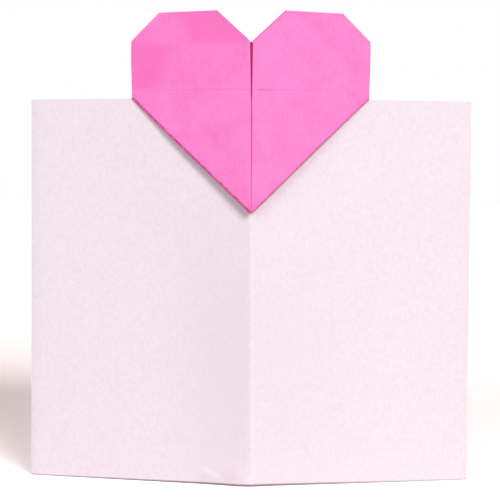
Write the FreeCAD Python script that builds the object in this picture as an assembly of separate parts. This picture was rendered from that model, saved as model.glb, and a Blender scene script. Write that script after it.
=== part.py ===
import FreeCAD, Part
import math
import os

# Greeting card with a folded paper heart on its front, in millimetres.
# +Z is up, the front faces -Y, and the origin is the middle of the foot of the whole card.

# Card: one sheet of card stock with a single upright fold, standing in a shallow V
sheet_width = 203.0
sheet_height = 171.5
sheet_thickness = 0.35
fold_radius = 0.8
panel_swing = 11.4  # degrees that each panel turns back from the front plane

# Heart: one square of thin paper, folded flat, then bent to the card's V
square_side = 150.0
paper_thickness = 0.10
layer_gap = 0.08
top_corner_depth = 56.7  # first fold: the top corner comes down this far
side_turned_in = 13.2  # fourth fold: each side corner goes behind by this much
tip_turned_down = 13.0  # fifth fold: each upper tip goes behind by this much
slit_half_at_point = 0.10
slit_half_at_notch = 0.50
height_share = 0.975  # folding by hand leaves the heart this much lower than true folds
heart_lean = 6.0  # degrees that the heart's point stands forward of upright
glue_line = 0.05  # between the heart's back and the card's top edge

# Layers of the folded heart, counted from its front
FLAP = 0
FLAP_LINING = 1
UPPER_TIP = 1
CENTRE_CORNER = 2
TOP_CORNER = 3
BASE = 4
BASE_SIDE = 5
FLAP_SIDE = 6

# Lines of the flat heart that follow from its folds: u is across from the middle, v is up
layer_pitch = paper_thickness + layer_gap
half_diagonal = square_side / math.sqrt(2)
notch_height = half_diagonal - top_corner_depth / 2
shoulder = (half_diagonal + top_corner_depth / 2) / 2  # u and v of the side corner
side_line = shoulder - side_turned_in
base_side_line = side_line - layer_pitch
tip_line = half_diagonal - tip_turned_down
lower_inset = layer_pitch * math.sqrt(2)  # an inner fold's rise above the lower edge
heart_depth = FLAP_SIDE * layer_pitch + paper_thickness
swing = math.radians(panel_swing)
ACROSS = 0
UP = 1


def vector(x, y, z):
    return FreeCAD.Vector(x, y, z)


# Card sheet

def plan_point(distance, depth, side):
    """A point of the card's plan: out along a panel, and back from its front face."""
    across = distance * math.cos(swing) - depth * math.sin(swing)
    back = distance * math.sin(swing) + depth * math.cos(swing)
    return vector(side * across, back, 0)


def make_card_sheet():
    """The V section with its rounded fold, drawn up to the sheet's height."""
    outer_radius = fold_radius + sheet_thickness
    tangent = outer_radius * math.tan(swing)
    bend_centre = outer_radius / math.cos(swing)
    panel = sheet_width / 2
    front_left, front_right = [plan_point(tangent, 0, side) for side in (-1, 1)]
    back_left, back_right = [plan_point(tangent, sheet_thickness, side) for side in (-1, 1)]
    front_start, front_end = [plan_point(panel, 0, side) for side in (-1, 1)]
    back_start, back_end = [plan_point(panel, sheet_thickness, side) for side in (-1, 1)]
    front_ridge = vector(0, bend_centre - outer_radius, 0)
    back_ridge = vector(0, bend_centre - fold_radius, 0)
    edges = [
        Part.LineSegment(front_start, front_left).toShape(),
        Part.Arc(front_left, front_ridge, front_right).toShape(),
        Part.LineSegment(front_right, front_end).toShape(),
        Part.LineSegment(front_end, back_end).toShape(),
        Part.LineSegment(back_end, back_right).toShape(),
        Part.Arc(back_right, back_ridge, back_left).toShape(),
        Part.LineSegment(back_left, back_start).toShape(),
        Part.LineSegment(back_start, front_start).toShape(),
    ]
    return Part.Face(Part.Wire(edges)).extrude(vector(0, 0, sheet_height))


# Outlines of the flat heart's right half, each run anticlockwise

def cut_outline(points, axis, line, beyond=False):
    """The part of an outline short of a fold line, or the part beyond it."""
    sign = -1 if beyond else 1
    kept = []
    for start, end in zip(points, points[1:] + points[:1]):
        start_over = sign * (start[axis] - line)
        end_over = sign * (end[axis] - line)
        if start_over <= 0:
            kept.append(start)
        if start_over * end_over < 0:
            share = start_over / (start_over - end_over)
            kept.append(tuple(a + share * (b - a) for a, b in zip(start, end)))
    return kept


def turned_over(points, axis, line):
    """An outline turned over a fold line."""
    turned = []
    for point in reversed(points):
        place = list(point)
        place[axis] = 2 * line - place[axis]
        turned.append(tuple(place))
    return turned


flap_outline = [
    (slit_half_at_point, slit_half_at_point),
    (shoulder, shoulder),
    (top_corner_depth / 2, half_diagonal),
    (slit_half_at_notch, notch_height + slit_half_at_notch),
]
base_outline = [(0, 0), (shoulder, shoulder), (top_corner_depth, notch_height), (0, notch_height)]
top_corner_outline = [
    (0, notch_height - top_corner_depth),
    (top_corner_depth, notch_height),
    (0, notch_height),
]
bottom_corner_outline = [
    (0, lower_inset),
    ((notch_height - lower_inset) / 2, (notch_height + lower_inset) / 2),
    (0, notch_height),
]


# Paper of the heart's right half: X is u, Z is v, and Y is the depth behind the front

def plate(points, first, last):
    """Paper in an outline, from the front of one layer to the back of another."""
    front = first * layer_pitch
    depth = (last - first) * layer_pitch + paper_thickness
    corners = [vector(u, front, v * height_share) for u, v in points]
    face = Part.Face(Part.makePolygon(corners + corners[:1]))
    return face.extrude(vector(0, depth, 0))


def closed_fold(start, end, first, last):
    """The bend that joins two layers, just inside the edge from start to end."""
    along_u = end[0] - start[0]
    along_v = end[1] - start[1]
    scale = paper_thickness / math.hypot(along_u, along_v)
    inward_u = -along_v * scale
    inward_v = along_u * scale
    inner_end = (end[0] + inward_u, end[1] + inward_v)
    inner_start = (start[0] + inward_u, start[1] + inward_v)
    return plate([start, end, inner_end, inner_start], first, last)


def make_flap():
    """The flap with its side and its upper tip turned behind."""
    front = cut_outline(cut_outline(flap_outline, ACROSS, side_line), UP, tip_line)
    side = turned_over(cut_outline(flap_outline, ACROSS, side_line, True), ACROSS, side_line)
    tip = turned_over(cut_outline(flap_outline, UP, tip_line, True), UP, tip_line)
    side_top = 2 * shoulder - side_line
    tip_outer = 2 * shoulder - tip_line
    tip_inner = tip_line - notch_height
    return [
        plate(front, FLAP, FLAP),
        plate(side, FLAP_SIDE, FLAP_SIDE),
        plate(tip, UPPER_TIP, UPPER_TIP),
        closed_fold((side_line, side_line), (side_line, side_top), FLAP, FLAP_SIDE),
        closed_fold((tip_outer, tip_line), (tip_inner, tip_line), FLAP, UPPER_TIP),
    ]


def make_base():
    """The rear layer, its turned side, and the fold that carries it round to the flap."""
    front = cut_outline(base_outline, ACROSS, base_side_line)
    beyond = cut_outline(base_outline, ACROSS, base_side_line, True)
    side_tip = (2 * base_side_line - shoulder, shoulder)
    side_foot = (base_side_line, base_side_line)
    side_head = (base_side_line, notch_height)
    return [
        plate(front, BASE, BASE),
        plate(turned_over(beyond, ACROSS, base_side_line), BASE_SIDE, BASE_SIDE),
        closed_fold((0, 0), (side_line, side_line), FLAP, BASE),
        closed_fold(side_foot, side_head, BASE, BASE_SIDE),
        closed_fold(side_tip, side_foot, BASE_SIDE, FLAP_SIDE),
    ]


def make_top_corner():
    """The square's top corner, folded down in front of the rear layer."""
    shown = cut_outline(top_corner_outline, ACROSS, base_side_line - layer_pitch)
    edge_end = min(top_corner_depth, base_side_line - layer_pitch)
    return [
        plate(shown, TOP_CORNER, TOP_CORNER),
        closed_fold((edge_end, notch_height), (0, notch_height), TOP_CORNER, BASE),
    ]


def make_bottom_corner():
    """The square's bottom corner: a layer behind the slit that runs on as the flap's lining."""
    foot, outer, top = bottom_corner_outline
    slit_foot = (slit_half_at_point, slit_half_at_point + lower_inset)
    slit_top = (slit_half_at_notch, notch_height - slit_half_at_notch)
    return [
        plate(bottom_corner_outline, CENTRE_CORNER, CENTRE_CORNER),
        plate([slit_foot, outer, slit_top], FLAP_LINING, FLAP_LINING),
        closed_fold(foot, outer, FLAP_LINING, CENTRE_CORNER),
        closed_fold(slit_top, slit_foot, FLAP, FLAP_LINING),
    ]


def make_heart_half():
    """The right half, turned back with its panel and cut at the middle."""
    pieces = make_flap() + make_base() + make_top_corner() + make_bottom_corner()
    half = pieces[0].fuse(pieces[1:])
    half.rotate(vector(0, 0, 0), vector(0, 0, 1), panel_swing)
    room = 2 * half_diagonal
    right_side = Part.makeBox(room, 2 * room, 2 * room, vector(0, -room, -room / 2))
    return half.common(right_side)


def make_paper_heart():
    """Both halves as one folded square, leaning with its back on the card's top edge."""
    right = make_heart_half()
    left = right.mirror(vector(0, 0, 0), vector(1, 0, 0))
    heart = right.fuse(left).removeSplitter()
    lean = math.radians(heart_lean)
    rear_v = side_line * height_share
    rear_x = side_line * math.cos(swing) - heart_depth * math.sin(swing)
    rear_y = side_line * math.sin(swing) + heart_depth * math.cos(swing)
    leaned_y = rear_y * math.cos(lean) + rear_v * math.sin(lean)
    leaned_z = rear_v * math.cos(lean) - rear_y * math.sin(lean)
    card_front_y = rear_x * math.tan(swing)
    heart.rotate(vector(0, 0, 0), vector(1, 0, 0), -heart_lean)
    heart.translate(vector(0, card_front_y - glue_line - leaned_y, sheet_height - leaned_z))
    return heart


# Whole card

def make_card():
    """Both pieces by name, with the middle of their common foot at the origin."""
    pieces = {"card_sheet": make_card_sheet(), "paper_heart": make_paper_heart()}
    front = min(piece.BoundBox.YMin for piece in pieces.values())
    back = max(piece.BoundBox.YMax for piece in pieces.values())
    for piece in pieces.values():
        piece.translate(vector(0, -(front + back) / 2, 0))
    return pieces


os.makedirs("parts", exist_ok=True)
for name, piece in make_card().items():
    piece.exportStep(os.path.join("parts", name + ".step"))
    box = piece.BoundBox
    sizes = " x ".join(f"{length:.2f}" for length in (box.XLength, box.YLength, box.ZLength))
    print(f"{name}: {len(piece.Solids)} solid, valid {piece.isValid()}, {sizes} mm,"
          f" {piece.Volume:.1f} mm3, z {box.ZMin:.2f} to {box.ZMax:.2f}, y {box.YMin:.2f} to {box.YMax:.2f}")
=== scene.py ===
import math
import bmesh
import bpy
import numpy as np
from mathutils import Matrix, Vector


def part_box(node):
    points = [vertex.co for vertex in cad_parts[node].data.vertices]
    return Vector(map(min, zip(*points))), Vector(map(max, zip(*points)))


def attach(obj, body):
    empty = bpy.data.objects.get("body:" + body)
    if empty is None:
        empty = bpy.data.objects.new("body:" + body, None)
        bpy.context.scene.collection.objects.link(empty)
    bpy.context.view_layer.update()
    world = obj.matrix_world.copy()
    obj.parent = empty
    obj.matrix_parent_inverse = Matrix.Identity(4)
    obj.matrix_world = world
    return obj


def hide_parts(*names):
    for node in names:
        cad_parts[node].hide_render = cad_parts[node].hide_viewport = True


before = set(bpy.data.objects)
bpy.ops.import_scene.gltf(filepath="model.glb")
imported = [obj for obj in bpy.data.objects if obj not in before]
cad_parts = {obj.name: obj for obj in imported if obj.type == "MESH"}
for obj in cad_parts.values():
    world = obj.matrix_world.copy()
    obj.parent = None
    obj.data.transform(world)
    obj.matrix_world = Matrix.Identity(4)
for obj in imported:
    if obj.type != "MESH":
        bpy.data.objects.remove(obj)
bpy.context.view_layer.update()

# Greeting card with a folded paper heart: the card stands in a shallow V, its front towards -Y.
# Sizes are in millimetres, as in the solids, and become metres when a mesh is made.

MM = 0.001
ROOT2 = math.sqrt(2)
cut_tolerance = 0.0005
join_distance = 0.004  # points that lie closer than this become one
sharp_angle = math.radians(50)  # steeper edges than this are shaded as sharp

# Card sheet
_, sheet_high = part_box("card_sheet")
sheet_height = sheet_high.z / MM
sheet_thickness = 0.35
swing = math.radians(11.4)  # how far each panel turns back from the front plane
panel_width = sheet_high.x / MM / math.cos(swing)
# The V is made with its ridge at y = 0 and then moved forward by this much
plan_shift = panel_width * math.sin(swing) + sheet_thickness * math.cos(swing) - sheet_high.y / MM
fold_softness = 0.45  # how round the fold is
foot_opening = 0.5  # the fold is this much softer at the foot
opening_height = 60.0  # above this height it keeps its own softness
fold_skew = 2.0  # the fold was scored this much to the right of the middle at its foot
skew_lost = 0.9  # the share of that skew which is gone at the top
panel_bow = 0.35
edge_turn = 0.4  # handling turned the outer edges back by this much
edge_turn_width = 5.0
knife_press = 0.3  # the knife pressed the foot's edge back by this much
knife_press_height = 0.8
sheet_grid = 1.5

# A small pinch in the left panel's foot, and the bulge between it and the fold
pinch_place = (-15.5, 5.0)
pinch_reach = 11.0
pinch_step = 0.65
pinch_run = (0.91, -0.41)  # it runs down to the right
bulge_height = 1.2
bulge_place = -5.0
bulge_reach = (6.5, 7.5)

# Folded heart
square_side = 150.0
paper_thickness = 0.10
layer_pitch = 0.18
top_corner_depth = 56.7
side_turned_in = 13.2
tip_turned_down = 13.0
slit_half_at_point = 0.10
slit_half_at_notch = 0.50
height_share = 0.975  # hand folding leaves the heart this much lower than true folds
heart_lean = math.radians(6.0)
glue_line = 0.05
heart_grid = 1.25
fold_steps = 6
point_skew = 1.05  # the point was folded this much to the right of the middle
skew_reach = 28.0  # the skew fades over this width
point_sag = 0.8  # the point bends back towards the card
sag_height = 60.0
lobe_cushion = 0.45
side_spread = 0.011  # the turned sides run apart by this share
slit_lift = 0.3  # the folded edges beside the slit stand off by this much
slit_lift_reach = 2.6
tenting = 2.6  # a layer comes down over this distance past the edge of one under it
crease_height = 55.95  # the old crease that runs across both halves of the heart
crease_rise = 0.028  # it climbs a little towards the sides
crease_width = 0.34
crease_depth = 0.09

half_diagonal = square_side / ROOT2
notch_height = half_diagonal - top_corner_depth / 2
shoulder = (half_diagonal + top_corner_depth / 2) / 2
side_line = shoulder - side_turned_in
tip_line = half_diagonal - tip_turned_down
base_depth = 4 * layer_pitch  # four layers lie in front of the base
heart_depth = 6 * layer_pitch + paper_thickness  # to the back of the sides turned behind


# Shared helpers

def linear(hex_colour):
    """An sRGB hex colour as linear red, green, blue and alpha."""
    parts = [int(hex_colour[i:i + 2], 16) / 255 for i in (1, 3, 5)]
    return tuple(p / 12.92 if p <= 0.04045 else ((p + 0.055) / 1.055) ** 2.4 for p in parts) + (1.0,)


def add(tree, kind, values=None, links=None, **settings):
    """A node with its settings, its socket values and the links into it."""
    made = tree.nodes.new(kind)
    for name, value in settings.items():
        setattr(made, name, value)
    for socket, value in (values or {}).items():
        made.inputs[socket].default_value = value
    for socket, source in (links or {}).items():
        tree.links.new(source, made.inputs[socket])
    return made


def eased(share):
    """0 to 1 with soft ends."""
    share = np.clip(share, 0, 1)
    return share * share * (3 - 2 * share)


def swell(across, up, *waves):
    """Long gentle waves over a sheet, each with its height, length, direction and phase."""
    total = 0
    for height, length, angle, phase in waves:
        along = across * math.cos(angle) + up * math.sin(angle)
        total = total + height * np.sin(along * 2 * math.pi / length + phase)
    return total


# Meshes

def upright(place):
    """A cutting line (a, b, c), where a u + b v = c: here u stays the same."""
    return (1.0, 0.0, place)


def level(place, rise=0.0):
    """A cutting line across the sheet, which may climb away from the middle."""
    return (-rise, 1.0, place)


def cut_into_grid(flat, step, more=()):
    """Cuts a flat bmesh along a square grid and further lines."""
    places = np.array([vert.co[:2] for vert in flat.verts])
    lines = list(more)
    for axis, line in enumerate((upright, level)):
        first = math.floor(places[:, axis].min() / step) + 1
        last = math.ceil(places[:, axis].max() / step)
        lines += [line(number * step) for number in range(first, last)]
    for a, b, c in lines:
        whole = flat.verts[:] + flat.edges[:] + flat.faces[:]
        spot = (a * c / (a * a + b * b), b * c / (a * a + b * b), 0)
        bmesh.ops.bisect_plane(flat, geom=whole, dist=cut_tolerance, plane_co=spot, plane_no=(a, b, 0))


def finished(name, points, faces, thickness, offset, marks, material):
    """One piece from its surface: points in mm, given its thickness and its marks."""
    mesh = bpy.data.meshes.new(name)
    mesh.from_pydata([tuple(point) for point in points * MM], [], faces)
    for mark, values in marks.items():
        mesh.attributes.new(mark, "FLOAT", "POINT").data.foreach_set("value", values.astype(np.float32))
    shape = bmesh.new()
    shape.from_mesh(mesh)
    bmesh.ops.remove_doubles(shape, verts=shape.verts, dist=join_distance * MM)
    shape.to_mesh(mesh)
    shape.free()
    rough = bpy.data.objects.new(name + "_surface", mesh)
    bpy.context.scene.collection.objects.link(rough)
    solid = rough.modifiers.new("thickness", "SOLIDIFY")
    solid.thickness = thickness * MM
    solid.offset = offset
    bpy.context.view_layer.update()
    graph = bpy.context.evaluated_depsgraph_get()
    final = bpy.data.meshes.new_from_object(rough.evaluated_get(graph), depsgraph=graph)
    bpy.data.objects.remove(rough)
    final.name = name
    final.shade_smooth()
    final.set_sharp_from_angle(angle=sharp_angle)
    final.materials.clear()
    final.materials.append(material)
    piece = bpy.data.objects.new(name, final)
    bpy.context.scene.collection.objects.link(piece)
    return piece


# Card stock: felt-marked uncoated card, milled pale pink. The eye sees a matt sheet with a soft
# toothy mottle, a scored fold with a painted highlight along it, and clean guillotined edges.

def make_card_stock():
    stock = bpy.data.materials.new("felt_marked_card_stock")
    stock.use_nodes = True
    tree = stock.node_tree
    tree.nodes.clear()
    place = add(tree, "ShaderNodeTexCoord").outputs["Object"]
    # Felt marks are 1 to 2 mm across and lean a little, as the felt left them
    leaning = add(tree, "ShaderNodeMapping",
                  {"Rotation": (0, math.radians(38), 0), "Scale": (1.0, 1.0, 0.62)}, {"Vector": place})
    felt = add(tree, "ShaderNodeTexNoise", {"Scale": 1 / (1.25 * MM), "Detail": 2.5, "Roughness": 0.6},
               {"Vector": leaning.outputs[0]})
    # Single fibres of 0.1 mm are drawn 0.7 mm wide, because finer ones would not show
    fibres = add(tree, "ShaderNodeTexNoise", {"Scale": 1 / (0.7 * MM), "Detail": 2.0, "Roughness": 0.6},
                 {"Vector": place})
    clouds = add(tree, "ShaderNodeTexNoise", {"Scale": 1 / (24 * MM), "Detail": 2.0, "Roughness": 0.5},
                 {"Vector": place})
    felt_tone = add(tree, "ShaderNodeMapRange", {"From Min": 0.32, "From Max": 0.68},
                    {"Value": felt.outputs["Fac"]})
    colour = add(tree, "ShaderNodeMix", {"A": linear("#F5E6EE"), "B": linear("#FCEFF6")},
                 {"Factor": felt_tone.outputs["Result"]}, data_type="RGBA")
    cloud_tone = add(tree, "ShaderNodeMapRange", {"From Min": 0.35, "From Max": 0.65, "To Max": 0.22},
                     {"Value": clouds.outputs["Fac"]})
    shown = add(tree, "ShaderNodeMix", {"B": linear("#FAE8F1")},
                {"Factor": cloud_tone.outputs["Result"], "A": colour.outputs["Result"]}, data_type="RGBA")
    # Painted shade over the panel, a painted highlight along the fold and edges, and painted shade at its
    # foot
    for mark, tone in (("painted_panel_shade", "#F1DFE8"), ("painted_highlight", "#FFF6FA"), ("foot", "#93818C")):
        amount = add(tree, "ShaderNodeAttribute", attribute_name=mark)
        shown = add(tree, "ShaderNodeMix", {"B": linear(tone)},
                    {"Factor": amount.outputs["Fac"], "A": shown.outputs["Result"]}, data_type="RGBA")
    felt_bump = add(tree, "ShaderNodeBump", {"Strength": 0.35, "Distance": 0.05 * MM},
                    {"Height": felt.outputs["Fac"]})
    bump = add(tree, "ShaderNodeBump", {"Strength": 0.25, "Distance": 0.02 * MM},
               {"Height": fibres.outputs["Fac"], "Normal": felt_bump.outputs["Normal"]})
    surface = add(tree, "ShaderNodeBsdfPrincipled",
                  {"Roughness": 0.85, "Specular IOR Level": 0.25, "IOR": 1.47},
                  {"Base Color": shown.outputs["Result"], "Normal": bump.outputs["Normal"]})
    add(tree, "ShaderNodeOutputMaterial", links={"Surface": surface.outputs["BSDF"]})
    return stock


# Folding paper: thin machine-finished sheet dyed hot pink. The eye sees a soft satin, dye that
# took a little unevenly, fine fibres, and painted highlights and painted shade at its creases and folds.

def make_folding_paper():
    paper = bpy.data.materials.new("dyed_folding_paper")
    paper.use_nodes = True
    tree = paper.node_tree
    tree.nodes.clear()
    place = add(tree, "ShaderNodeTexCoord").outputs["Object"]
    # The dye clouds over 5 to 18 mm
    clouds = add(tree, "ShaderNodeTexNoise", {"Scale": 1 / (11 * MM), "Detail": 3.0, "Roughness": 0.6},
                 {"Vector": place})
    # Fibres of 0.03 mm are drawn 0.9 mm wide and lie mostly along the paper machine's run
    run = add(tree, "ShaderNodeMapping",
              {"Rotation": (0, math.radians(45), 0), "Scale": (1.0, 1.0, 0.35)}, {"Vector": place})
    fibres = add(tree, "ShaderNodeTexNoise", {"Scale": 1 / (0.9 * MM), "Detail": 3.0, "Roughness": 0.65},
                 {"Vector": run.outputs[0]})
    cloud_tone = add(tree, "ShaderNodeMapRange", {"From Min": 0.3, "From Max": 0.7},
                     {"Value": clouds.outputs["Fac"]})
    dye = add(tree, "ShaderNodeMix", {"A": linear("#FD79C8"), "B": linear("#FF8AD4")},
              {"Factor": cloud_tone.outputs["Result"]}, data_type="RGBA")
    fibre_tone = add(tree, "ShaderNodeMapRange", {"From Min": 0.35, "From Max": 0.7, "To Max": 0.45},
                     {"Value": fibres.outputs["Fac"]})
    shown = add(tree, "ShaderNodeMix", {"B": linear("#FE96D6")},
                {"Factor": fibre_tone.outputs["Result"], "A": dye.outputs["Result"]}, data_type="RGBA")
    # Soft painted shade on the lobes, the old crease and the bends, painted highlights, and deeper
    # painted shade in the folds and the slit
    for mark, tone in (("soft_painted_shade", "#FC6CBC"), ("painted_highlight", "#FFB4E2"), ("painted_deep_shade", "#C90C72")):
        amount = add(tree, "ShaderNodeAttribute", attribute_name=mark)
        shown = add(tree, "ShaderNodeMix", {"B": linear(tone)},
                    {"Factor": amount.outputs["Fac"], "A": shown.outputs["Result"]}, data_type="RGBA")
    bump = add(tree, "ShaderNodeBump", {"Strength": 0.2, "Distance": 0.02 * MM},
               {"Height": fibres.outputs["Fac"]})
    surface = add(tree, "ShaderNodeBsdfPrincipled",
                  {"Roughness": 0.68, "Specular IOR Level": 0.3, "IOR": 1.47},
                  {"Base Color": shown.outputs["Result"], "Normal": bump.outputs["Normal"]})
    add(tree, "ShaderNodeOutputMaterial", links={"Surface": surface.outputs["BSDF"]})
    return paper


# Card sheet

def sheet_cuts():
    """Extra cutting lines beside the fold and the edges, near the foot and across the pinch."""
    cuts = [upright(side * away) for side in (-1, 1) for away in (0.25, 0.55, 0.95)]
    cuts += [upright(place) for place in (1.9, 2.2, 2.6)]
    cuts += [upright(side * (panel_width - away)) for side in (-1, 1) for away in (0.35, 0.8)]
    cuts += [level(up) for up in (0.3, 0.55, 0.8, 1.05, 1.3, sheet_height - 0.4)]
    for line, middle in zip((upright, level), pinch_place):
        cuts += [line(middle + step * sheet_grid / 2) for step in range(-9, 10)]
    return cuts


def sheet_depth(across, up, out):
    """How far the hand's marks push the sheet back from its two flat panels."""
    bow = panel_bow * np.sin(np.clip(out / panel_width, 0, 1) * math.pi) * eased(up / sheet_height)
    swollen = swell(across, up, (0.10, 88, 0.6, 0.4), (0.07, 53, 2.0, 1.1)) * eased(out / 12)
    # The pinch is a short step: full on its lower left side, none on its upper right side
    du, dv = across - pinch_place[0], up - pinch_place[1]
    along = (du * pinch_run[0] + dv * pinch_run[1]) / pinch_reach
    beside = (dv * pinch_run[0] - du * pinch_run[1]) / pinch_reach
    pinch = pinch_step * eased(0.5 - beside * 5)
    pinch = pinch * np.exp(-(along * 2.2) ** 2 - np.minimum(beside * 2.4, 0) ** 2)
    bulge = ((across - bulge_place) / bulge_reach[0]) ** 2 + (up / bulge_reach[1]) ** 2
    bulge = bulge_height * np.exp(-bulge)
    pressed = knife_press * (1 - eased(up / knife_press_height))
    turned = edge_turn * np.clip((out - panel_width + edge_turn_width) / edge_turn_width, 0, 1) ** 2
    return bow + swollen - pinch - bulge + pressed + turned


def sheet_marks(across, up, out, from_fold):
    """A painted highlight along the fold and edges, painted shade at the foot, and painted shade over the
    panel.
    """
    # The foot's edge is painted dark as shade where it nearly meets the floor, most of all near the fold
    shade_height = 0.35 + 0.65 * (1 - out / panel_width) ** 0.7
    shade_share = 0.92 - 0.62 * eased(across / 95) - 0.3 * eased(-across / 95)
    foot = shade_share * eased((shade_height + 0.25 - up) / 0.4)
    edge = np.minimum(np.minimum(panel_width - out, up), sheet_height - up)
    # A painted highlight along the fold, and a paler painted rim along the edges
    on_fold = 0.28 * eased(1 - np.abs(from_fold - 0.4) / 0.9)
    painted_highlight = np.maximum(on_fold, 0.15 * eased(1 - edge / 0.9)) * (1 - foot)
    # Painted shade: darker towards the fold, more on the left and towards the foot, and a patch between
    # the pinch and the fold for the pinch's shaded side
    painted_panel_shade = np.where(across < 0, eased(1 - (out - 4) / 46), 0.45 * eased(1 - (out - 10) / 70))
    painted_panel_shade = 0.5 * painted_panel_shade * eased((150 - up) / 90)
    painted_panel_shade = painted_panel_shade + 0.7 * np.exp(-((across + 8) / 4.5) ** 2 - ((up - 3.8) / 2.4) ** 2)
    return {"painted_highlight": painted_highlight, "foot": foot, "painted_panel_shade": painted_panel_shade}


def make_card_sheet(material):
    """The sheet's front face on a grid, softly folded, with the hand's marks pressed in and its painted
    light and shade.
    """
    flat = bmesh.new()
    corners = [
        (-panel_width, 0), (panel_width, 0), (panel_width, sheet_height), (-panel_width, sheet_height),
    ]
    flat.faces.new([flat.verts.new((across, up, 0)) for across, up in corners])
    cut_into_grid(flat, sheet_grid, sheet_cuts())
    across, up = np.array([vert.co[:2] for vert in flat.verts]).T
    faces = [[vert.index for vert in face.verts] for face in flat.faces]
    flat.free()
    out = np.abs(across)
    softness = fold_softness + foot_opening * np.clip(1 - up / opening_height, 0, 1) ** 2
    from_fold = across - fold_skew * (1 - skew_lost * up / sheet_height)
    plan = np.sqrt(from_fold ** 2 + softness ** 2)
    x = across * math.cos(swing)
    y = plan * math.sin(swing) + sheet_depth(across, up, out) - plan_shift
    points = np.stack([x, y, up], axis=1)
    marks = sheet_marks(across, up, out, from_fold)
    return finished("card_sheet_stock", points, faces, sheet_thickness, -1, marks, material)


# Heart: each layer is a flat outline, u across from the middle and v up from the point.
# Folded edges are drawn in by the reach of their bends, so the bends end on the outline.

lower_inset = 0.50
inner_inset = 0.74
side_inset = 0.33
top_inset = 0.16
slit_inset = 0.10
small_reach = 0.14  # of the bends that join two neighbouring layers out of sight
lower_rise = lower_inset * ROOT2
inner_rise = inner_inset * ROOT2
side_u = side_line - side_inset
top_v = notch_height - top_inset
tip_v = tip_line - top_inset
slit_foot_u = slit_half_at_point + slit_inset
slit_top_u = slit_half_at_notch + slit_inset
point = (slit_foot_u, slit_foot_u + lower_rise)
slit_foot = (slit_foot_u, slit_foot_u + inner_rise)
slit_middle = (slit_foot_u, 52.0)  # the flaps' inner edges meet below this
slit_top = (slit_top_u, notch_height - slit_half_at_notch)
notch = (slit_top_u, notch_height + slit_top_u)
lower_side = (side_u, side_u + lower_rise)
upper_side = (side_u, 2 * shoulder - side_u)
tip_outer = (2 * shoulder - tip_v, tip_v)
tip_inner = (tip_v - notch_height, tip_v)
corner_outer = ((notch_height - inner_rise) / 2, (notch_height + inner_rise) / 2)
side_tip = (2 * side_u - shoulder, shoulder)

OUTLINES = {
    "flap": [
        point, lower_side, upper_side, tip_outer, tip_inner, notch, slit_top, slit_middle, slit_foot,
    ],
    "lining": [slit_foot, corner_outer, slit_top, slit_middle],
    "bottom_corner": [(0, inner_rise), slit_foot, corner_outer, (0, notch_height + 0.45)],
    "top_corner": [
        (0, notch_height - top_corner_depth), (side_u, notch_height - top_corner_depth + side_u),
        (side_u, top_v), (0, top_v),
    ],
    "base": [(0, lower_rise), point, lower_side, (side_u, top_v), (0, top_v)],
    "base_side": [lower_side, (side_u, top_v), (2 * side_u - top_corner_depth, top_v), side_tip],
    "flap_side": [lower_side, upper_side, side_tip],
    "upper_tip": [tip_outer, tip_inner, (top_corner_depth / 2, 2 * tip_v - half_diagonal)],
}
# What each layer lies on, which lifts it
UNDER = {
    "flap": ["base", "top_corner", "bottom_corner", "lining", "upper_tip"],
    "lining": ["base", "top_corner", "bottom_corner"],
    "bottom_corner": ["base", "top_corner"],
    "top_corner": ["base"],
    "upper_tip": ["base"],
}
# How many layers the turned sides lie behind the base
BEHIND = {"base_side": 1, "flap_side": 2}
# Bends: front layer, rear layer, start, end, reach beyond the drawn-in edge
BENDS = [
    ("flap", "base", point, lower_side, lower_inset),
    ("flap", "flap_side", lower_side, upper_side, side_inset),
    ("base", "base_side", lower_side, (side_u, top_v), small_reach),
    ("base_side", "flap_side", side_tip, lower_side, small_reach),
    ("top_corner", "base", (side_u, top_v), (0, top_v), top_inset),
    ("flap", "upper_tip", tip_outer, tip_inner, top_inset),
    ("lining", "bottom_corner", slit_foot, corner_outer, small_reach),
    ("flap", "lining", slit_top, slit_middle, slit_inset + 0.04),
    ("flap", "lining", slit_middle, slit_foot, slit_inset + 0.12),  # both halves meet here
]


def outside(outline, u, v):
    """How far points lie outside a convex outline that runs anticlockwise, 0 within it."""
    worst = np.zeros(np.shape(u))
    for start, end in zip(outline, outline[1:] + outline[:1]):
        du, dv = end[0] - start[0], end[1] - start[1]
        worst = np.maximum(worst, ((u - start[0]) * dv - (v - start[1]) * du) / math.hypot(du, dv))
    return worst


def anticlockwise(outline):
    """The outline, turned round if it runs clockwise."""
    doubled_area = sum(a[0] * b[1] - a[1] * b[0] for a, b in zip(outline, outline[1:] + outline[:1]))
    return outline if doubled_area > 0 else outline[::-1]


def presence(layer, u, v, reach):
    """1 over a layer, easing to 0 past its edge."""
    return eased(1 - outside(anticlockwise(OUTLINES[layer]), u, v) / reach)


def layer_depth(layer, u, v):
    """A layer's depth behind the heart's foremost plane, from what it lies on."""
    if layer in BEHIND:
        return np.full(np.shape(u), base_depth + BEHIND[layer] * layer_pitch)
    lift = np.zeros(np.shape(u))
    for under in UNDER.get(layer, []):
        lift = lift + presence(under, u, v, tenting)
    return base_depth - lift * layer_pitch


def from_crease(u, v):
    """How far above the old crease a place is, in its own widths."""
    return (v - crease_height - crease_rise * u) / crease_width


def crease_kept(u):
    """How much of the old crease is left: it fades towards the sides."""
    return 1 - 0.75 * eased((u - 26) / 20)


def crease(u, v):
    """The old crease, a shallow valley with a low lip below it."""
    away = from_crease(u, v)
    shape = np.exp(-away ** 2) - 0.4 * np.exp(-(away + 2.2) ** 2)
    return crease_depth * crease_kept(u) * shape


def spring(layer, u, v):
    """How far the folded edges beside the slit stand off the layers under them."""
    if layer not in ("flap", "lining"):
        return np.zeros(np.shape(u))
    opened = np.clip(v / notch_height, 0, 1) ** 3 * (1 - eased((v - notch_height) / 12))
    return -slit_lift * np.exp(-u / slit_lift_reach) * opened


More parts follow.
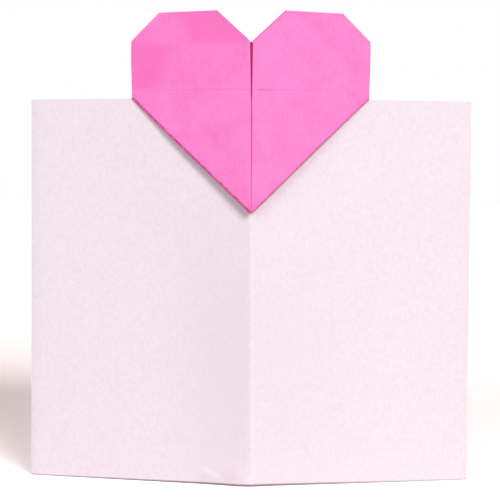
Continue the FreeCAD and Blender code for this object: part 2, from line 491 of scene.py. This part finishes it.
def hand_of_paper(side, u, v):
    """How the folded heart bows: each lobe is a shallow cushion, and the point sags to the card."""
    lobe = np.sin(np.clip(u / side_line, 0, 1) * math.pi)
    lobe = lobe * np.sin(np.clip(v / tip_line, 0, 1) * math.pi)
    sag = point_sag * np.clip(1 - v / sag_height, 0, 1) ** 1.5
    swollen = swell(side * u, v, (0.09, 46, 0.9, 0.5 + side), (0.05, 27, 2.2, 1.7)) * eased(u / 6)
    return swollen - lobe_cushion * lobe + sag


def heart_place(side, u, v, depth):
    """Flat heart to the object's frame: bent to the card's V, leant forward and set on its edge."""
    u = u * (1 + side_spread * eased((v - side_line) / 20))
    x = side * (u * math.cos(swing) - depth * math.sin(swing) * eased(u / 1.2))
    x = x + point_skew * np.exp(-(u / skew_reach) ** 2) * (1 - 0.5 * (v / notch_height) ** 2)
    y = np.sqrt(u ** 2 + fold_softness ** 2) * math.sin(swing) + depth * math.cos(swing)
    z = v * height_share
    leaned_y = y * math.cos(heart_lean) + z * math.sin(heart_lean)
    leaned_z = z * math.cos(heart_lean) - y * math.sin(heart_lean)
    # The back of the turned sides, at their lower end, meets the card's top edge
    rear_x = side_line * math.cos(swing) - heart_depth * math.sin(swing)
    rear_y = side_line * math.sin(swing) + heart_depth * math.cos(swing)
    rear_z = side_line * height_share
    touch_y = rear_x * math.tan(swing) - glue_line
    shift_y = touch_y - rear_y * math.cos(heart_lean) - rear_z * math.sin(heart_lean) - plan_shift
    shift_z = sheet_height - rear_z * math.cos(heart_lean) + rear_y * math.sin(heart_lean)
    return np.stack([x, leaned_y + shift_y, leaned_z + shift_z], axis=1)


slit_slope = (slit_top[0] - slit_middle[0]) / (slit_top[1] - slit_middle[1])
slit_shade = 0.22  # the flap is painted in shade over this width beside the slit
lower_shade = 0.8  # and over this width along its lower edge

# Extra cutting lines: over the old crease, beside the slit and inside the lower edge
HEART_CUTS = [
    level(crease_height + away * crease_width, crease_rise)
    for away in (-3.4, -2.5, -1.8, -1.1, -0.5, 0, 0.6, 1.3)
]
HEART_CUTS += [upright(place) for place in (slit_foot_u + slit_shade, 0.9, 1.9)]
HEART_CUTS += [(1.0, -slit_slope, slit_foot_u + slit_shade - slit_slope * slit_middle[1])]
HEART_CUTS += [(-1.0, 1.0, lower_rise + ROOT2 * lower_shade * share) for share in (0.5, 1.0)]


def flat_layer(outline):
    """A layer's outline cut into the heart's grid: places (u, v) and faces."""
    flat = bmesh.new()
    flat.faces.new([flat.verts.new((u, v, 0)) for u, v in anticlockwise(outline)])
    cut_into_grid(flat, heart_grid, HEART_CUTS)
    places = np.array([vert.co[:2] for vert in flat.verts])
    faces = [[vert.index for vert in face.verts] for face in flat.faces]
    flat.free()
    return places, faces


def places_along(start, end):
    """The places where the heart's grid crosses a folded edge, in order, with its ends."""
    shares = {0.0, 1.0}
    numbers = range(1, math.ceil(half_diagonal / heart_grid))
    lines = [line(number * heart_grid) for line in (upright, level) for number in numbers]
    for a, b, c in lines + HEART_CUTS:
        from_line = c - a * start[0] - b * start[1]
        run = a * (end[0] - start[0]) + b * (end[1] - start[1])
        # A line that runs along the edge doesn't cut it
        if abs(run) > 1e-9 and 0 < from_line / run < 1:
            shares.add(from_line / run)
    kept = []
    for share in sorted(shares):
        if not kept or (share - kept[-1]) * math.dist(start, end) > cut_tolerance:
            kept.append(share)
    return np.array([[a + share * (b - a) for a, b in zip(start, end)] for share in kept])


# Bends painted darker as the shade of their own fold. -1 is the left half.
SHADED_BENDS = {("flap", "base"): {-1: 1.0, 1: 0.75}, ("flap", "lining"): {-1: 1.0, 1: 1.0}}


def painted_lobe_shade(side, u, v):
    """Painted shade on the flap: patches over the left lobe's top and outer side, and a faint band on the
    right lobe.
    """
    above = eased((v - notch_height - 0.02 * u) / 4.5 + 0.5)
    inner_top = above * eased((33 - u + 0.35 * (v - notch_height)) / 11)
    outer_side = (1 - above) * eased((u - 25 - 0.62 * (notch_height - v)) / 13)
    outer_side = outer_side * eased(from_crease(u, v) / 3 - 0.5)
    if side < 0:
        return 0.62 * inner_top + 0.58 * outer_side
    band = np.exp(-((u + v - 115.5) / 4.5) ** 2) * eased((v - 62) / 8)
    return 0.28 * band


def beside_slit(v):
    """How dark the painted shade of the line between the two flaps is, from the point up to the notch."""
    return 0.3 + 0.7 * np.clip((v - 8) / 66, 0, 1) ** 0.8


def slit_edge(u, v):
    """1 on the flap's edge beside the slit, 0 a little inside it."""
    edge = slit_middle[0] + slit_slope * np.clip(v - slit_middle[1], 0, slit_top[1] - slit_middle[1])
    return eased(1 - (u - edge) / slit_shade) * (1 - 0.4 * eased((v - 46) / 20))


def lower_edge(u, v):
    """1 on the flap's sloping lower edge, 0 a little inside it."""
    return np.clip(1 - (v - u - lower_rise) / ROOT2 / lower_shade, 0, 1)


def notch_edge(u, v):
    """1 on the flap's sloping edge above the notch, 0 a little inside it."""
    return eased(1 - (notch_height + u - v) / ROOT2 / 0.7)


def layer_marks(layer, side, u, v):
    """A layer's painted highlight, its soft painted shade and its deeper painted shade."""
    # Painted shade in the old crease's valley and a painted highlight on its lip
    in_crease = np.exp(-from_crease(u, v) ** 2)
    below_crease = np.exp(-(from_crease(u, v) + 2.2) ** 2)
    highlight = below_crease * 0.05 * crease_kept(u)
    soft_shade = in_crease * crease_kept(u) * (0.4 if side < 0 else 0.2)
    if layer != "flap":
        # Layers seen through the slit are painted in deep shade near the middle
        return highlight, soft_shade, eased((1.6 - u) / 0.8)
    soft_shade = np.clip(soft_shade + painted_lobe_shade(side, u, v), 0, 1)
    shade = beside_slit(v) * slit_edge(u, v)
    shade = np.maximum(shade, lower_edge(u, v) * (0.75 if side < 0 else 0.45))
    if side < 0:
        # Painted highlights on the left flap beside the slit, below the notch and again further down
        highlight = highlight + 0.3 * np.exp(-((u - 0.9) / 0.7) ** 2 - ((v - 73) / 8) ** 2)
        highlight = highlight + 0.18 * np.exp(-(u / 6) ** 2 - ((v - 29) / 14) ** 2)
    else:
        # Painted shade on the edge above the notch, and a short dark painted dash along the old crease
        # beside the slit
        dash = in_crease * eased((u - 2) / 1.5) * eased((10 - u) / 3)
        shade = np.maximum(shade, np.maximum(0.55 * notch_edge(u, v), 0.4 * dash))
    return highlight, soft_shade, shade


def make_paper_heart(material):
    """Every layer and bend of both halves as one skin, then given the paper's thickness."""
    points, faces, painted_highlight, soft_painted_shade, painted_deep_shade = [], [], [], [], []

    def keep(side, u, v, depth, new_faces, highlight, soft_shade, shade):
        first = sum(len(batch) for batch in points)
        points.append(heart_place(side, u, v, depth + crease(u, v) + hand_of_paper(side, u, v)))
        painted_highlight.append(highlight)
        soft_painted_shade.append(soft_shade)
        painted_deep_shade.append(shade)
        for face in new_faces:
            shifted = [first + number for number in face]
            faces.append(shifted if side > 0 else shifted[::-1])

    for layer, outline in OUTLINES.items():
        places, layer_faces = flat_layer(outline)
        u, v = places.T
        depth = layer_depth(layer, u, v) + spring(layer, u, v)
        for side in (-1, 1):
            keep(side, u, v, depth, layer_faces, *layer_marks(layer, side, u, v))

    for front, rear, start, end, reach in BENDS:
        along = places_along(start, end)
        at_u, at_v = along.T
        out = np.array([end[1] - start[1], start[0] - end[0]]) / math.dist(start, end)
        count = len(along)
        front_depth = layer_depth(front, at_u, at_v) + spring(front, at_u, at_v)
        rear_depth = layer_depth(rear, at_u, at_v) + spring(rear, at_u, at_v)
        for side in (-1, 1):
            rows = []
            for step in range(fold_steps + 1):
                turn = math.pi * step / fold_steps
                u, v = (along + out * (reach - paper_thickness / 2) * math.sin(turn)).T
                share = (1 - math.cos(turn)) / 2
                depth = (1 - share) * front_depth + share * rear_depth
                shade = np.full(count, SHADED_BENDS.get((front, rear), {side: 0})[side])
                if (front, rear) == ("flap", "lining"):
                    shade = shade * beside_slit(at_v) * (1 if step else slit_edge(at_u, at_v))
                elif share < 0.5:
                    shade = shade * eased(math.sin(turn) * 1.9 - 0.15)
                rows.append((u, v, depth, shade))
            u, v, depth, shade = [np.concatenate(part) for part in zip(*rows)]
            strip = []
            for step in range(fold_steps):
                for number in range(count - 1):
                    a = step * count + number
                    strip.append([a, a + count, a + count + 1, a + 1])
            # Every bend gets a little soft painted shade
            keep(side, u, v, depth, strip, np.zeros(len(u)), np.full(len(u), 0.2), shade)

    marks = {"painted_highlight": painted_highlight, "soft_painted_shade": soft_painted_shade, "painted_deep_shade": painted_deep_shade}
    marks = {mark: np.concatenate(values) for mark, values in marks.items()}
    points = np.concatenate(points)
    return finished("folded_paper_heart", points, faces, paper_thickness, 0, marks, material)


sheet_piece = make_card_sheet(make_card_stock())
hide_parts("card_sheet")
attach(sheet_piece, "root")

heart_piece = make_paper_heart(make_folding_paper())
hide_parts("paper_heart")
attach(heart_piece, "root")


# Stage: white paper floor that keeps the shadow, and a white surround for the camera

def seen_or_not(tree, lighting, looks):
    """One shader that lights the piece, and another where the camera or a shine sees it."""
    rays = add(tree, "ShaderNodeLightPath")
    either = add(tree, "ShaderNodeMath", operation="MAXIMUM",
                 links={0: rays.outputs["Is Camera Ray"], 1: rays.outputs["Is Glossy Ray"]})
    return add(tree, "ShaderNodeMixShader",
               links={0: either.outputs[0], 1: lighting.outputs[0], 2: looks.outputs[0]})


floor_reach = 30.0  # metres
floor_paper = bpy.data.materials.new("white_paper_floor")
floor_paper.use_nodes = True
floor_tree = floor_paper.node_tree
floor_tree.nodes.clear()
floor_white = add(floor_tree, "ShaderNodeBsdfDiffuse", {"Color": linear("#A8A6A6")})
# The camera sees the floor whiter than it is, so its unshaded part is the photograph's white.
# The lift is more than white, which a hex colour can't say.
lift_tone = (1.82, 1.70, 1.68, 1)
floor_lift = add(floor_tree, "ShaderNodeBsdfDiffuse", {"Color": lift_tone})
floor_seen = add(floor_tree, "ShaderNodeAddShader",
                 links={0: floor_white.outputs[0], 1: floor_lift.outputs[0]})
floor_mix = seen_or_not(floor_tree, floor_white, floor_seen)
add(floor_tree, "ShaderNodeOutputMaterial", links={"Surface": floor_mix.outputs[0]})
floor_mesh = bpy.data.meshes.new("floor")
floor_corners = [
    (x * floor_reach, y * floor_reach, 0) for x, y in ((-1, -1), (1, -1), (1, 1), (-1, 1))
]
floor_mesh.from_pydata(floor_corners, [], [(0, 1, 2, 3)])
floor_mesh.materials.append(floor_paper)
floor = bpy.data.objects.new("floor", floor_mesh)
bpy.context.scene.collection.objects.link(floor)

world = bpy.data.worlds.new("white_studio")
bpy.context.scene.world = world
world.use_nodes = True
world.node_tree.nodes.clear()
room = add(world.node_tree, "ShaderNodeBackground", {"Color": linear("#FFEDEB"), "Strength": 0.13})
seen = add(world.node_tree, "ShaderNodeBackground", {"Color": linear("#FFFFFF"), "Strength": 1.0})
surround = seen_or_not(world.node_tree, room, seen)
add(world.node_tree, "ShaderNodeOutputWorld", links={"Surface": surround.outputs[0]})


# Light: a soft key from the right front, a broad weak fill from the left front, and a low lamp
# behind, which draws the card's shadow on the floor towards the camera

def add_light(name, strength, azimuth, elevation, spread, colour):
    """A soft light from far away. Azimuth counts from the front to the right, angles in degrees."""
    lamp = bpy.data.lights.new(name, "SUN")
    lamp.energy = strength * math.pi
    lamp.angle = math.radians(spread)
    lamp.color = linear(colour)[:3]
    holder = bpy.data.objects.new(name, lamp)
    turn, rise = math.radians(azimuth), math.radians(elevation)
    towards = Vector((
        math.sin(turn) * math.cos(rise), -math.cos(turn) * math.cos(rise), math.sin(rise),
    ))
    holder.rotation_euler = towards.to_track_quat("Z", "Y").to_euler()
    bpy.context.scene.collection.objects.link(holder)


add_light("key", 0.68, 27.5, 21.5, 24, "#FFFFFF")
add_light("fill", 0.505, -26, 5, 60, "#FFFFFF")
add_light("rear", 0.72, 180, 4, 24, "#FFFFFF")


# Camera, at the photograph's place and lens

photo_width = 500.0  # pixels, as is the focal length
focal_length = 1352.0
view_distance = 600.0
eye_height = 127.4
view_azimuth = math.radians(1.18)
view_pitch = math.radians(2.19)
view_yaw = math.radians(-0.04)
view_roll = math.radians(0.40)
lens = bpy.data.cameras.new("camera")
lens.sensor_width = 36.0
lens.lens = focal_length / photo_width * lens.sensor_width
lens.clip_start, lens.clip_end = 0.01, 100.0
heading = view_azimuth + view_yaw
back = Vector((
    math.sin(heading) * math.cos(view_pitch), -math.cos(heading) * math.cos(view_pitch),
    math.sin(view_pitch),
))
right = Vector((math.cos(heading), math.sin(heading), 0))
upward = back.cross(right)
camera_x = math.cos(view_roll) * right + math.sin(view_roll) * upward
camera_y = math.cos(view_roll) * upward - math.sin(view_roll) * right
camera = bpy.data.objects.new("camera", lens)
camera_place = Vector((
    view_distance * math.sin(view_azimuth), -view_distance * math.cos(view_azimuth), eye_height,
))
camera_turn = Matrix((camera_x, camera_y, back)).transposed().to_4x4()
camera.matrix_world = Matrix.Translation(camera_place * MM) @ camera_turn
bpy.context.scene.collection.objects.link(camera)
bpy.context.scene.camera = camera
bpy.context.scene.view_settings.view_transform = "Standard"
